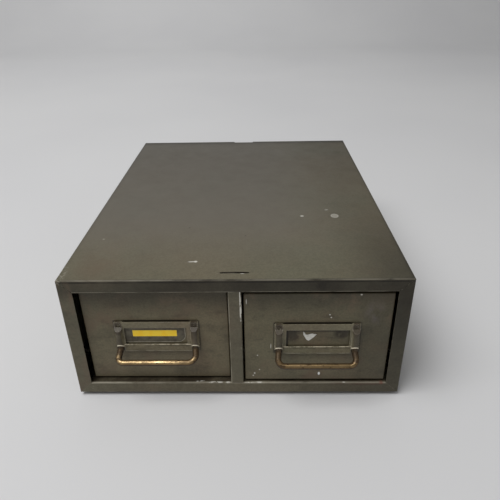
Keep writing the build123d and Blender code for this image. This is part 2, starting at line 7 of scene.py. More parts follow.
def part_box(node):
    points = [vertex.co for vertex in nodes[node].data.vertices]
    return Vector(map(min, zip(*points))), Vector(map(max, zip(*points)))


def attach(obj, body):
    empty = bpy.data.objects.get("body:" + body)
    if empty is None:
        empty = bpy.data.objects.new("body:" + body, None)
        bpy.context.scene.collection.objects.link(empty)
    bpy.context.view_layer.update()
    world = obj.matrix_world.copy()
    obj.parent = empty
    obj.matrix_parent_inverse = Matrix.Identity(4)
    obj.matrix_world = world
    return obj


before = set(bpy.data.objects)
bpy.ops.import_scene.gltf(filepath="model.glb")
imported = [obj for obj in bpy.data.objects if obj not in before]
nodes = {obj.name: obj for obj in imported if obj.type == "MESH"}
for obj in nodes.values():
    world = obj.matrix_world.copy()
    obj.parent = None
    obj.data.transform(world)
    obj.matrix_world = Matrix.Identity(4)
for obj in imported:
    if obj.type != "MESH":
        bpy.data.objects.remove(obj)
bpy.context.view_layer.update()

MM = 0.001
HANDS = ("left", "right")

# ---- Places read from the frame ------------------------------------------------------
front_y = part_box("outer_shell")[0][1]
holder_boxes = {hand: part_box(f"{hand}_label_holder") for hand in HANDS}


def at_front(x, y, z):
    """A point given in mm from the middle of the front frame, as a place in the row frame."""
    return Vector((x * MM, front_y + y * MM, z * MM))


def holder_middle(hand):
    low, high = holder_boxes[hand]
    return (low[0] + high[0]) / 2


# ---- Node helpers --------------------------------------------------------------------

class Finish:
    """A node material, with short calls for what the finishes below are made of.

    A mask is a socket that is 1 inside a mark and 0 outside it.
    """

    EDGE_BENDS = (0.004, 0.12)      # how far a bevelled normal bends where wear starts and is full

    def __init__(self, name):
        self.material = bpy.data.materials.new(name)
        self.material.use_nodes = True
        self.tree = self.material.node_tree
        self.tree.nodes.clear()
        output = self.new("OutputMaterial")
        self.shader = self.new("BsdfPrincipled")
        self.link(self.shader.outputs[0], output.inputs[0])
        self.place = self.new("TexCoord").outputs["Object"]

    def new(self, kind):
        return self.tree.nodes.new("ShaderNode" + kind)

    def link(self, source, target):
        self.tree.links.new(source, target)

    def put(self, value, target):
        """Links a socket, or sets a plain value; a colour comes without its alpha."""
        if isinstance(value, bpy.types.NodeSocket):
            self.link(value, target)
        elif isinstance(value, tuple):
            target.default_value = (*value, 1.0)
        else:
            target.default_value = value

    def math(self, operation, first, second=0.0, clamp=False):
        node = self.new("Math")
        node.operation = operation
        node.use_clamp = clamp
        self.put(first, node.inputs[0])
        self.put(second, node.inputs[1])
        return node.outputs[0]

    def times(self, value, factor):
        return self.math("MULTIPLY", value, factor)

    def plus(self, value, more):
        return self.math("ADD", value, more)

    def minus(self, value, less):
        return self.math("SUBTRACT", value, less)

    def all_of(self, *masks):
        total = masks[0]
        for mask in masks[1:]:
            total = self.times(total, mask)
        return total

    def most(self, *masks):
        total = masks[0]
        for mask in masks[1:]:
            total = self.math("MAXIMUM", total, mask)
        return total

    def noise(self, scale, detail=3.0, stretch=(1, 1, 1), roughness=0.5):
        mapping = self.new("Mapping")
        mapping.inputs["Scale"].default_value = stretch
        self.link(self.place, mapping.inputs["Vector"])
        node = self.new("TexNoise")
        node.inputs["Scale"].default_value = scale
        node.inputs["Detail"].default_value = detail
        node.inputs["Roughness"].default_value = roughness
        self.link(mapping.outputs[0], node.inputs["Vector"])
        return node.outputs[0]

    def between(self, value, low, high, to_low=0.0, to_high=1.0):
        """Smooth step of a value from low to high."""
        node = self.new("MapRange")
        node.interpolation_type = "SMOOTHSTEP"
        self.put(value, node.inputs["Value"])
        node.inputs["From Min"].default_value = low
        node.inputs["From Max"].default_value = high
        node.inputs["To Min"].default_value = to_low
        node.inputs["To Max"].default_value = to_high
        return node.outputs[0]

    def fade(self, value, low, high):
        """1 below the low value, 0 above the high one."""
        return self.between(value, low, high, 1.0, 0.0)

    def ragged(self, scale, low, high, stretch=(1, 1, 1)):
        """A mask broken up by noise, for chipped and rubbed places."""
        return self.between(self.noise(scale, 6.0, stretch, 0.65), low, high)

    def mix(self, factor, first, second):
        node = self.new("Mix")
        node.data_type = "RGBA"
        self.put(factor, node.inputs[0])
        self.put(first, node.inputs[6])
        self.put(second, node.inputs[7])
        return node.outputs[2]

    def axis(self, which):
        node = self.new("SeparateXYZ")
        self.link(self.place, node.inputs[0])
        return node.outputs["xyz".index(which)]

    def along(self, which):
        """The place along x, y or z, in mm from the middle of the front frame."""
        shift = front_y if which == "y" else 0.0
        return self.times(self.minus(self.axis(which), shift), 1.0 / MM)

    def band(self, value, low, high, soft):
        """1 between two values, with soft ends."""
        rise = self.between(value, low - soft, low + soft)
        return self.times(rise, self.fade(value, high - soft, high + soft))

    def span(self, which, low_mm, high_mm, soft_mm=0.3):
        """1 between two places along x, y or z."""
        return self.band(self.along(which), low_mm, high_mm, soft_mm)

    def ramp(self, which, start_mm, end_mm):
        """Rises smoothly from 0 at the start to 1 at the end, whichever of them is higher."""
        if start_mm < end_mm:
            return self.between(self.along(which), start_mm, end_mm)
        return self.fade(self.along(which), end_mm, start_mm)

    def distance(self, centre, size, turn=(0, 0, 0)):
        """Distance from a mark's centre, in units of its half size in mm along each axis."""
        mapping = self.new("Mapping")
        mapping.vector_type = "TEXTURE"
        mapping.inputs["Location"].default_value = centre
        mapping.inputs["Rotation"].default_value = [radians(a) for a in turn]
        mapping.inputs["Scale"].default_value = [s * MM for s in size]
        self.link(self.place, mapping.inputs["Vector"])
        node = self.new("VectorMath")
        node.operation = "LENGTH"
        self.link(mapping.outputs[0], node.inputs[0])
        return node.outputs["Value"]

    def mark(self, centre, size, turn=(0, 0, 0), soft=0.35):
        """A spot or a streak."""
        return self.fade(self.distance(centre, size, turn), 1.0 - soft, 1.0 + soft)

    def blot(self, centre, size, full, gone):
        """A spot that is full up to one share of its size and gone at another."""
        return self.fade(self.distance(centre, size), full, gone)

    def dot(self, normal, other):
        node = self.new("VectorMath")
        node.operation = "DOT_PRODUCT"
        self.link(normal, node.inputs[0])
        if isinstance(other, bpy.types.NodeSocket):
            self.link(other, node.inputs[1])
        else:
            node.inputs[1].default_value = other
        return node.outputs["Value"]

    def edges(self, radius_mm):
        """1 along the outer edges of the mesh, from a bevelled normal."""
        bevel = self.new("Bevel")
        bevel.samples = 6
        bevel.inputs["Radius"].default_value = radius_mm * MM
        flat = self.new("NewGeometry").outputs["Normal"]
        bent = self.minus(1.0, self.dot(bevel.outputs[0], flat))
        return self.between(bent, *self.EDGE_BENDS)

    def facing(self, direction):
        """How far the surface faces a direction of the object: 1 straight at it."""
        turn = self.new("VectorTransform")
        turn.vector_type = "NORMAL"
        turn.convert_from = "WORLD"
        turn.convert_to = "OBJECT"
        self.link(self.new("NewGeometry").outputs["Normal"], turn.inputs[0])
        return self.dot(turn.outputs[0], direction)

    def bump(self, height, distance_mm, strength, normal=None):
        node = self.new("Bump")
        node.inputs["Strength"].default_value = strength
        node.inputs["Distance"].default_value = distance_mm * MM
        self.link(height, node.inputs["Height"])
        if normal is not None:
            self.link(normal, node.inputs["Normal"])
        return node.outputs[0]

    def finish(self, colour, roughness, normal, metallic=0.0, specular=0.5):
        self.put(colour, self.shader.inputs["Base Color"])
        self.put(roughness, self.shader.inputs["Roughness"])
        self.put(metallic, self.shader.inputs["Metallic"])
        self.put(specular, self.shader.inputs["Specular IOR Level"])
        self.link(normal, self.shader.inputs["Normal"])
        return self.material


def spots(marks, soft=0.35):
    """A layer mask for marks that are given by centre, half size and turn."""
    return lambda skin: skin.most(*[skin.mark(*mark, soft=soft) for mark in marks])


# ---- Colours, linear -----------------------------------------------------------------
OLIVE = (0.150, 0.130, 0.085)
DRAWER_OLIVE = (0.164, 0.137, 0.082)
HOLDER_OLIVE = (0.205, 0.174, 0.110)
OLIVE_BROWN = (0.128, 0.092, 0.058)
# greyer tone of the painted sheen on the top
SHEEN_GREY = (0.131, 0.119, 0.098)
BROWN_BLOOM = (0.120, 0.084, 0.055)
BROWN_STAIN = (0.142, 0.098, 0.066)
GREY_BLOOM = (0.155, 0.130, 0.130)
GREENER = (0.90, 0.97, 0.98)        # shares of a paint's own colour
BROWNER = (0.99, 0.82, 0.82)
BARE_EDGE = (0.30, 0.275, 0.215)
RUBBED_EDGE = (0.34, 0.31, 0.24)
RUBBED_SILL = (0.52, 0.46, 0.34)
RUBBED_MOUTH = (0.80, 0.72, 0.56)
SCRAPED = (0.70, 0.68, 0.61)
RUST = (0.085, 0.042, 0.026)
RED_RUST = (0.16, 0.055, 0.035)
# dark of grime, also the colour of painted shade
GRIME_AND_SHADE = (0.013, 0.010, 0.007)
LEDGE_DUST = (0.024, 0.016, 0.010)
BARREL_DARK_TONE = (0.026, 0.018, 0.012)
RIVET_DUST = (0.060, 0.045, 0.029)
WINDOW_DUST_AND_SHADE = (0.022, 0.015, 0.010)
PALE_MARK = (0.62, 0.60, 0.54)
DRIED_DROP = (0.50, 0.48, 0.42)
WHITE_SPLASH = (0.85, 0.85, 0.82)
BRONZE_DARK = (0.072, 0.047, 0.023)
BRONZE_STAIN = (0.030, 0.020, 0.011)
# lighter brown and bright bronze of the painted highlight and the rubbed bar
BRONZE_WORN_AND_LIT = (0.165, 0.100, 0.040)
BRONZE_RUBBED_AND_HIGHLIGHT = (0.74, 0.54, 0.28)
BRONZE_PIT = (0.050, 0.028, 0.012)
RIVET_STEEL = (0.32, 0.31, 0.285)
RUNNER_STEEL = (0.16, 0.15, 0.13)
DULL_STEEL = (0.17, 0.155, 0.13)
RUBBER_BLACK = (0.016, 0.016, 0.015)
RUBBER_DUST = (0.05, 0.048, 0.044)
TAPE_YELLOW = (1.0, 0.63, 0.008)
TAPE_FADED = (1.0, 0.69, 0.035)
TAPE_EDGE = (0.92, 0.78, 0.30)
PAPER = (0.66, 0.65, 0.60)
PAPER_DIRTY = (0.36, 0.34, 0.28)
CARD_FACE = (0.120, 0.106, 0.074)
CARD_FACE_DARK = (0.066, 0.055, 0.038)
CARD_RIM_DARK = (0.20, 0.18, 0.13)
FLOOR_PALE = (0.71, 0.71, 0.713)
FLOOR_DIM = (0.68, 0.68, 0.687)


# ---- Finishes ------------------------------------------------------------------------

def smudges(skin):
    """Soft dark smears, longer than they are high."""
    soft = skin.between(skin.noise(34.0, 5.0, (0.7, 1, 1.2), 0.62), 0.50, 0.74)
    small = skin.between(skin.noise(120.0, 5.0, (0.6, 1, 1.2), 0.66), 0.52, 0.74, 0.0, 0.7)
    return skin.most(soft, small)


def tinted(tone, shares):
    return tuple(part * share for part, share in zip(tone, shares))


def enamel(name, tone=OLIVE, wear=0.5, rust=0.3, under=(), over=(), clouds=0.28, shine=0.30):
    """Old satin enamel on sheet steel.

    Each layer is a mask, its colour and its strength. The layers under the wear of the edges
    come first, the others lie over it.
    """
    skin = Finish(name)

    def lay(colour, layers):
        for mask, tint, strength in layers:
            colour = skin.mix(skin.times(mask(skin), strength), colour, tint)
        return colour

    cloudy = skin.noise(38.0, 5.0, roughness=0.6)
    greenish = skin.between(skin.noise(6.0, 4.0), 0.40, 0.64)
    colour = skin.mix(greenish, tone, tinted(tone, GREENER))
    brownish = skin.between(skin.noise(17.0, 5.0, roughness=0.6), 0.46, 0.70)
    colour = skin.mix(skin.times(brownish, clouds * 1.6), colour, tinted(tone, BROWNER))
    colour = skin.mix(skin.between(cloudy, 0.45, 0.80, 0.0, clouds), colour, GRIME_AND_SHADE)
    grain = skin.between(skin.noise(420.0, 4.0), 0.30, 0.72, 0.0, 0.22)
    colour = skin.mix(grain, colour, GRIME_AND_SHADE)
    # Brown spots where the paint has let rust through, and fine pale specks.
    freckle = skin.between(skin.noise(150.0, 6.0, roughness=0.7), 0.655, 0.74)
    colour = skin.mix(skin.times(freckle, rust), colour, RUST)
    speck = skin.between(skin.noise(560.0, 3.0, roughness=0.8), 0.70, 0.76, 0.0, 0.45)
    colour = skin.mix(speck, colour, BARE_EDGE)
    colour = lay(colour, under)
    rubbed = skin.all_of(skin.edges(0.9), skin.ragged(210.0, 0.44, 0.62), wear)
    colour = skin.mix(rubbed, colour, BARE_EDGE)
    colour = lay(colour, over)
    rough = skin.plus(skin.times(cloudy, 0.24), 0.31)
    rough = skin.minus(rough, skin.times(rubbed, 0.1))
    peel = skin.bump(skin.noise(900.0, 2.0), 0.05, 0.35)
    normal = skin.bump(skin.noise(16.0, 2.0), 0.9, 0.35, peel)
    return skin.finish(colour, rough, normal, specular=shine)


def bronze_wire(name, bar_z, polish_and_highlight):
    """Bronze plating: dark legs, and a bar rubbed bright along its upper side; that bright band
    and the lighter brown on faces turned up and forward are painted highlight.
    """
    skin = Finish(name)
    bar = skin.fade(skin.axis("z"), bar_z + 1 * MM, bar_z + 12 * MM)
    facing = skin.facing((0.0, -0.62, 0.78))
    grain = skin.noise(110.0, 6.0, stretch=(0.3, 1, 1), roughness=0.7)
    grain = skin.between(grain, 0.38, 0.60, 0.15, 1.0)
    # painted highlight and rubbed polish where the bar faces up and forward
    bright = skin.all_of(bar, skin.between(facing, 0.72, 0.97), grain)
    # lighter brown painted where the wire faces up and forward, as painted light
    half_lit = skin.all_of(skin.between(facing, 0.35, 0.95),
                           skin.between(bar, 0.0, 1.0, 0.25, 0.75))
    stain = skin.between(skin.noise(240.0, 5.0, roughness=0.6), 0.36, 0.66)
    colour = skin.mix(stain, BRONZE_DARK, BRONZE_STAIN)
    colour = skin.mix(skin.times(half_lit, 0.6 + 0.4 * polish_and_highlight), colour, BRONZE_WORN_AND_LIT)
    rubbed = skin.all_of(bright, skin.between(skin.noise(26.0, 3.0), 0.36, 0.60, 0.55, 1.0))
    colour = skin.mix(skin.times(rubbed, polish_and_highlight), colour, BRONZE_RUBBED_AND_HIGHLIGHT)
    pits = skin.times(skin.ragged(260.0, 0.54, 0.63, (0.6, 1, 1)), 0.85)
    colour = skin.mix(pits, colour, BRONZE_PIT)
    rough = skin.between(bright, 0.0, 1.0, 0.46, 0.28)
    metal = skin.between(bright, 0.0, 1.0, 0.45, 0.95)
    return skin.finish(colour, rough, skin.bump(skin.noise(700.0, 3.0), 0.06, 0.4), metal)


def plated_steel(name, tone):
    skin = Finish(name)
    dull = skin.noise(90.0, 5.0)
    colour = skin.mix(skin.between(dull, 0.4, 0.7), tone, DULL_STEEL)
    rough = skin.plus(skin.times(dull, 0.3), 0.25)
    normal = skin.bump(skin.noise(1200.0, 2.0, stretch=(1, 0.05, 1)), 0.03, 0.4)
    return skin.finish(colour, rough, normal, 0.85)


def rubber(name):
    skin = Finish(name)
    dusty = skin.between(skin.noise(180.0, 5.0), 0.45, 0.75)
    colour = skin.mix(dusty, RUBBER_BLACK, RUBBER_DUST)
    rough = skin.between(dusty, 0.0, 1.0, 0.7, 0.9)
    return skin.finish(colour, rough, skin.bump(skin.noise(800.0, 3.0), 0.08, 0.5), specular=0.3)


def tape_vinyl(name):
    """Yellow embossing tape: glossy, a little faded in patches."""
    skin = Finish(name)
    faded = skin.between(skin.noise(120.0, 3.0, stretch=(1, 1, 0.4)), 0.42, 0.68)
    colour = skin.mix(faded, TAPE_YELLOW, TAPE_FADED)
    colour = skin.mix(skin.times(skin.edges(0.4), 0.5), colour, TAPE_EDGE)
    rough = skin.between(faded, 0.0, 1.0, 0.32, 0.45)
    return skin.finish(colour, rough, skin.bump(skin.noise(500.0, 3.0), 0.04, 0.4))


def torn_paper(name):
    skin = Finish(name)
    dirty = skin.between(skin.noise(160.0, 4.0), 0.45, 0.75)
    colour = skin.mix(skin.times(dirty, 0.5), PAPER, PAPER_DIRTY)
    fibre = skin.noise(600.0, 6.0, roughness=0.7)
    return skin.finish(colour, 0.85, skin.bump(fibre, 0.1, 0.5), specular=0.2)


def card_stock(name, tone, dark):
    """Old card behind the tape, dark with age."""
    skin = Finish(name)
    stain = skin.noise(140.0, 5.0, roughness=0.6)
    colour = skin.mix(skin.between(stain, 0.35, 0.7), tone, dark)
    return skin.finish(colour, 0.55, skin.bump(stain, 0.1, 0.4), specular=0.4)


def floor_paper(name):
    skin = Finish(name)
    colour = skin.mix(skin.between(skin.noise(1.1, 2.0), 0.3, 0.7), FLOOR_PALE, FLOOR_DIM)
    return skin.finish(colour, 0.75, skin.bump(skin.noise(14.0, 3.0), 0.5, 0.15), specular=0.2)


# ---- Marks seen on the body, in mm from the middle of the front frame ------------------
TOP = 173.0
OPENING_TOP = 157.0
OPENING_SIDE = 183.5
LEDGE = 21.0


def top_mark(x, y, half_x, half_y, turn=0):
    return at_front(x, y, TOP), (half_x, half_y, 4.0), (0, 0, turn)


def ledge_mark(x, y, half_x, half_y, half_z, turn=0):
    return at_front(x, y, LEDGE), (half_x, half_y, half_z), (0, 0, turn)


TOP_DABS = [
    top_mark(-50.5, 40.0, 5.0, 0.9, turn=4),
    top_mark(-46.6, 40.2, 2.0, 1.8),
    top_mark(88.4, 161.3, 2.4, 1.6),
    top_mark(9.0, 13.6, 2.2, 0.8),
]
TOP_FAINT = [
    top_mark(-171.5, 98.0, 1.4, 1.2),
    top_mark(124.5, 181.0, 2.4, 1.6, turn=20),
]
TOP_DARK = [                        # two nicks, and painted shade in the slot that the post's tab fills
    top_mark(-64.0, 128.0, 1.2, 0.9),
    top_mark(11.0, 104.0, 1.0, 0.8),
    top_mark(0.0, 16.2, 17.6, 1.2),
]
LEDGE_CHIPS = [
    ledge_mark(-27.0, 1.0, 9.0, 1.5, 0.9),
    ledge_mark(-12.0, 0.8, 2.6, 1.4, 0.9),
    ledge_mark(-47.0, 3.0, 6.0, 0.9, 0.8, turn=8),
    ledge_mark(15.0, 0.8, 5.0, 1.2, 0.8),
    ledge_mark(27.0, 0.8, 6.0, 1.2, 0.8),
    ledge_mark(132.0, 0.8, 1.6, 1.0, 0.6),
]
RED_SPOT = [(at_front(178.0, 1.0, 20.0), (2.2, 3.0, 1.6))]


def ring_spot(skin):
    """A round dried drop with a paler rim."""
    away = skin.distance(at_front(133.4, 161.0, TOP), (5.4, 6.2, 6.0))
    rim = skin.all_of(skin.between(away, 0.45, 0.80), skin.fade(away, 0.85, 1.15))
    return skin.most(rim, skin.between(away, 0.5, 1.0, 0.75, 0.0))


def front_zone(skin):
    return skin.ramp("y", 3.0, 1.4)


def top_zone(skin):
    return skin.ramp("z", 172.2, 172.9)


def front_painted_shade(skin):
    """Painted shade: the frame is darker along its top and towards its right end."""
    along = skin.plus(skin.times(skin.ramp("x", -170.0, -50.0), 0.26), 0.66)
    upper = skin.all_of(skin.ramp("z", 140.0, 160.0), along)
    rising = skin.plus(skin.times(skin.ramp("z", 30.0, 130.0), 0.34), 0.58)
    right_end = skin.all_of(skin.ramp("x", 40.0, 190.0), rising)
    uneven = skin.between(skin.noise(24.0, 4.0), 0.2, 0.75, 1.0, 0.72)
    return skin.all_of(front_zone(skin), skin.most(upper, right_end), uneven)


def front_smudges(skin):
    return skin.all_of(front_zone(skin), smudges(skin))


def top_shade_and_age(skin):
    """Painted shade: the top grows darker towards the back, towards its right side and at its
    right front corner. Its edges are duller with age.
    """
    corner = skin.all_of(skin.ramp("x", 110.0, 196.0), skin.ramp("y", 240.0, 10.0))
    sides = skin.most(skin.ramp("x", -194.0, -199.5), skin.ramp("x", 194.0, 199.5))
    total = skin.times(skin.ramp("y", 60.0, 460.0), 0.32)
    total = skin.plus(total, skin.times(skin.ramp("x", 60.0, 190.0), 0.20))
    total = skin.plus(total, skin.times(skin.ramp("y", 486.0, 508.0), 0.40))
    total = skin.plus(total, skin.times(corner, 0.45))
    total = skin.plus(total, skin.times(sides, 0.25))
    return skin.all_of(total, top_zone(skin))


def top_painted_sheen(skin):
    """Painted sheen: the middle and the back of the top are greyer than the rest."""
    return skin.all_of(skin.ramp("y", 0.0, 170.0), top_zone(skin), skin.ramp("x", 190.0, 20.0))


def top_brown(skin):
    """Brown bloom on the top, near its front left corner."""
    near = skin.blot(at_front(-150.0, 60.0, TOP), (60.0, 90.0, 20.0), 0.1, 1.2)
    return skin.all_of(near, skin.between(skin.noise(14.0, 4.0), 0.35, 0.65))


def lintel_stain(skin):
    """A dark stain on the lintel above the right drawer."""
    near = skin.blot(at_front(98.0, 0.0, 164.0), (9.0, 6.0, 8.0), 0.4, 1.2)
    return skin.all_of(near, front_zone(skin), skin.ragged(90.0, 0.36, 0.56, (1, 1, 0.4)))


def lintel_edge(skin):
    """The rubbed lower edge of the top flange, over both openings."""
    line = skin.span("z", OPENING_TOP - 1.0, OPENING_TOP + 0.7, 0.25)
    return skin.all_of(front_zone(skin), line, skin.span("x", -OPENING_SIDE, OPENING_SIDE, 0.5),
                       skin.ragged(90.0, 0.34, 0.56, (0.4, 1, 1)))


def crease_line(skin):
    """A dark line under the bend between the top and the front flange."""
    return skin.all_of(front_zone(skin), skin.span("z", 169.4, 171.2, 0.4),
                       skin.ragged(60.0, 0.30, 0.55, (0.3, 1, 1)))


def crease_light(skin):
    """Paint rubbed thin along the bend itself."""
    bend = skin.all_of(skin.ramp("y", 2.4, 1.0), skin.ramp("z", 171.4, 172.4))
    return skin.all_of(bend, skin.ragged(70.0, 0.36, 0.60, (0.3, 1, 1)))


def corner_wear(skin):
    """Speckled wear at the upper left corner."""
    near = skin.blot(at_front(-197.0, 12.0, TOP), (7.0, 26.0, 8.0), 0.4, 1.1)
    return skin.all_of(near, skin.ragged(420.0, 0.52, 0.60))


def corner_flecks(skin):
    """Fine flecks at the lower left corner, on the flange and on the ledge."""
    near = skin.blot(at_front(-184.0, 0.0, 14.0), (9.0, 6.0, 9.0), 0.5, 1.1)
    return skin.all_of(near, skin.ragged(480.0, 0.60, 0.66))


def side_stain(skin):
    """Brown stain on the left flange."""
    return skin.all_of(front_zone(skin), skin.ramp("x", -181.0, -186.0),
                       skin.ragged(26.0, 0.42, 0.66, (1, 1, 0.5)))


def ledge_rust(skin):
    """A line of rust and dirt along the ledge below the right drawer."""
    line = skin.all_of(skin.span("z", 17.6, 21.2, 1.0), skin.span("x", 36.0, 176.0, 12.0))
    return skin.all_of(line, front_zone(skin), skin.ragged(60.0, 0.40, 0.60, (0.35, 1, 1)))


def ledge_chips(skin):
    """Paint chipped off the bend of the ledge, on both sides of the post."""
    return skin.all_of(spots(LEDGE_CHIPS, 0.5)(skin), skin.ragged(330.0, 0.43, 0.53, (0.5, 1, 1)))


def ledge_edge(skin):
    """The rubbed bend at the front of the ledge."""
    line = skin.all_of(skin.span("z", 19.8, 22.0, 0.4), skin.ramp("y", 2.6, 1.4))
    return skin.all_of(line, skin.ragged(70.0, 0.36, 0.56, (0.35, 1, 1)))


def ledge_dirt(skin):
    """Dirt lying on the ledge behind its front bend."""
    return skin.all_of(skin.ramp("y", 1.8, 3.2), skin.ramp("z", 19.0, 20.5),
                       skin.ragged(60.0, 0.12, 0.62))


def post_left_edge(skin):
    """The rubbed left edge of the post."""
    return skin.all_of(skin.span("x", -7.8, -6.4, 0.35), skin.ramp("y", 2.4, 1.2),
                       skin.ragged(80.0, 0.34, 0.56, (1, 1, 0.4)))


def post_scrape(skin):
    """Paint scraped off the post's right edge by the right drawer, mostly high up."""
    streak = skin.noise(260.0, 6.0, (1, 1, 0.22), 0.65)
    reached = skin.plus(streak, skin.times(skin.ramp("z", 84.0, 138.0), 0.07))
    return skin.all_of(skin.span("x", 5.5, 7.9, 0.4), skin.ramp("y", 3.0, 1.6),
                       skin.between(reached, 0.595, 0.65))


def tab_slot_shade(skin):
    """The end of the post's tab, painted dark as shade in its slot."""
    return skin.ramp("z", 169.5, 171.5)


def dress_cabinet():
    shell = enamel("shell_enamel", wear=0.5, rust=0.2, clouds=0.08, shine=0.24, under=(
        (front_painted_shade, GRIME_AND_SHADE, 0.92),
        (top_painted_sheen, SHEEN_GREY, 0.75),
        (top_shade_and_age, GRIME_AND_SHADE, 0.9),
        (top_brown, BROWN_BLOOM, 0.6),
        (lintel_stain, GRIME_AND_SHADE, 0.55),
        (crease_line, GRIME_AND_SHADE, 0.85),
        # painted shade: the front faces are darkened a little
        (front_zone, GRIME_AND_SHADE, 0.12),
        (side_stain, BROWN_STAIN, 0.8),
        (front_smudges, GRIME_AND_SHADE, 0.3),
    ), over=(
        (spots(TOP_DARK), GRIME_AND_SHADE, 0.8),
        (crease_light, BARE_EDGE, 0.42),
        (lintel_edge, BARE_EDGE, 0.50),
        (corner_wear, BARE_EDGE, 0.7),
        (corner_flecks, BARE_EDGE, 0.8),
        (ring_spot, DRIED_DROP, 0.60),
        (spots(TOP_FAINT, 0.6), PALE_MARK, 0.35),
        (spots(TOP_DABS), PALE_MARK, 0.9),
    ))
    base = enamel("base_enamel", wear=0.6, rust=0.4, shine=0.24, under=(
        (front_painted_shade, GRIME_AND_SHADE, 0.92),
        (ledge_dirt, LEDGE_DUST, 0.85),
        (ledge_rust, RUST, 0.7),
        (smudges, GRIME_AND_SHADE, 0.25),
        # painted shade: the front faces are darkened a little
        (front_zone, GRIME_AND_SHADE, 0.04),
    ), over=(
        (ledge_edge, BARE_EDGE, 0.75),
        (corner_flecks, BARE_EDGE, 0.8),
        (spots(RED_SPOT, 0.6), RED_RUST, 0.7),
        (ledge_chips, PALE_MARK, 0.85),
    ))
    post = enamel("post_enamel", wear=0.6, under=(
        (front_painted_shade, GRIME_AND_SHADE, 0.5),
        (tab_slot_shade, GRIME_AND_SHADE, 0.8),
        # painted shade: the front faces are darkened a little
        (front_zone, GRIME_AND_SHADE, 0.12),
    ), over=(
        (post_left_edge, BARE_EDGE, 0.6),
        (post_scrape, SCRAPED, 0.95),
    ))
    plain = enamel("inner_enamel", wear=0.4)
    steel = plated_steel("runner_steel", RUNNER_STEEL)
    rivets = plated_steel("rivet_steel", RIVET_STEEL)
    feet = rubber("foot_rubber")
    finishes = {
        "outer_shell": shell,
        "base_panel": base,
        "centre_post": post,
        "back_panel": plain,
        "centre_partition": plain,
        "foot_rivets": rivets,
    }
    endings = {"_foot": feet, "_runner": steel, "_rail": steel, "_guides": rivets}
    for ending, material in endings.items():
        for name in nodes:
            if name.endswith(ending):
                finishes[name] = material
    return finishes


# ---- Marks seen on the drawers ---------------------------------------------------------
MOUTH_CUT = 8.2 * MM                # these six follow the shape of the label holders
MOUTH_LIP = 0.6 * MM
BARREL_RISE = 4.2 * MM
BARREL_SPACING = 90.0 * MM
RIVET_DROP = 6.5 * MM
WINDOW_HALF = 37.25
WINDOW_SHIFT = {"left": -1.4, "right": 0.9}
BAR_RISE = 3.7 * MM                 # from the pull's lowest point; the polish and the painted highlight fade above it
# strength of the polish and of the painted highlight on each bar
POLISH_AND_HIGHLIGHT = {"left": 0.95, "right": 0.5}
RIGHT_FACE = 3.0


def face_mark(x, z, half_x, half_z):
    """A mark on the face of the right drawer."""
    return at_front(x, RIGHT_FACE, z), (half_x, 3.0, half_z)


RIGHT_SPECKS = [
    face_mark(142.8, 150.6, 1.1, 1.0),
    face_mark(109.0, 123.0, 0.8, 1.0),
    face_mark(110.8, 119.0, 0.9, 0.9),
    face_mark(41.3, 76.7, 0.5, 3.6),
    face_mark(25.2, 62.6, 0.8, 0.8),
    face_mark(27.5, 39.9, 0.7, 0.8),
    face_mark(21.5, 34.1, 1.0, 1.3),
    face_mark(19.8, 30.4, 0.9, 0.9),
    face_mark(13.1, 141.8, 0.5, 3.4),
]
RIGHT_SPLASH = [face_mark(100.7, 33.5, 1.3, 2.3)]
WINDOW_ENDS = [
    face_mark(67.0, 93.0, 9.0, 9.0),
    face_mark(124.0, 95.0, 8.0, 6.5),
    # painted shadow along the upper edge of the window
    face_mark(95.0, 101.5, 32.0, 2.6),
]


def drawer_shade(skin):
    """Painted shade: the faces are darker under the lintels, along their lower edges and to the
    right.
    """
    return skin.most(skin.times(skin.ramp("z", 110.0, 150.0), 0.62),
                     skin.times(skin.ramp("z", 40.0, 24.0), 0.20),
                     skin.times(skin.ramp("x", 90.0, 178.0), 0.50))


def brown_patches(skin):
    return skin.ragged(21.0, 0.50, 0.70)


def slot_and_window_shadow(hand):
    """Painted shadow along the open card slot, and in the window's upper and left edges."""
    middle = holder_middle(hand) / MM
    top = holder_boxes[hand][1][2] / MM
    left = middle + WINDOW_SHIFT[hand] - WINDOW_HALF

    def mask(skin):
        slot = skin.all_of(skin.span("z", top - 1.0, top + 1.3, 0.5),
                           skin.span("x", middle - 39.0, middle + 39.0, 1.5))
        upper = skin.all_of(skin.span("z", top - 12.5, top - 6.0, 1.6),
                            skin.span("x", left - 2.0, left + 76.0))
        side = skin.all_of(skin.span("z", top - 34.0, top - 6.0),
                           skin.span("x", left - 2.0, left + 2.6, 0.7))
        return skin.most(slot, skin.times(upper, 0.7), side)

    return mask


def holder_outline_shade(hand):
    """Painted shade on the drawer front, along the outline of its label holder."""
    low, high = ([value / MM for value in corner] for corner in holder_boxes[hand])

    def mask(skin):
        outer = skin.all_of(skin.span("x", low[0] - 1.1, high[0] + 1.1, 0.6),
                            skin.span("z", low[2] - 1.2, high[2] + 1.0, 0.6))
        inner = skin.all_of(skin.span("x", low[0] + 5.0, high[0] - 5.0),
                            skin.span("z", low[2] + 5.0, high[2] - 5.0))
        ring = skin.math("SUBTRACT", outer, inner, clamp=True)
        return skin.all_of(ring, skin.ragged(70.0, 0.25, 0.50))

    return mask


def window_stain_and_shadow(skin):
    """Dark stains at both ends of the right window, and painted shadow along its upper edge."""
    return skin.all_of(spots(WINDOW_ENDS, 0.4)(skin), skin.ragged(110.0, 0.30, 0.50))


def grey_bloom(skin):
    """A faint greyish bloom at the right end of the right drawer."""
    near = skin.blot(at_front(160.0, RIGHT_FACE, 126.0), (13.0, 4.0, 20.0), 0.2, 1.2)
    return skin.all_of(near, skin.ragged(70.0, 0.40, 0.64))


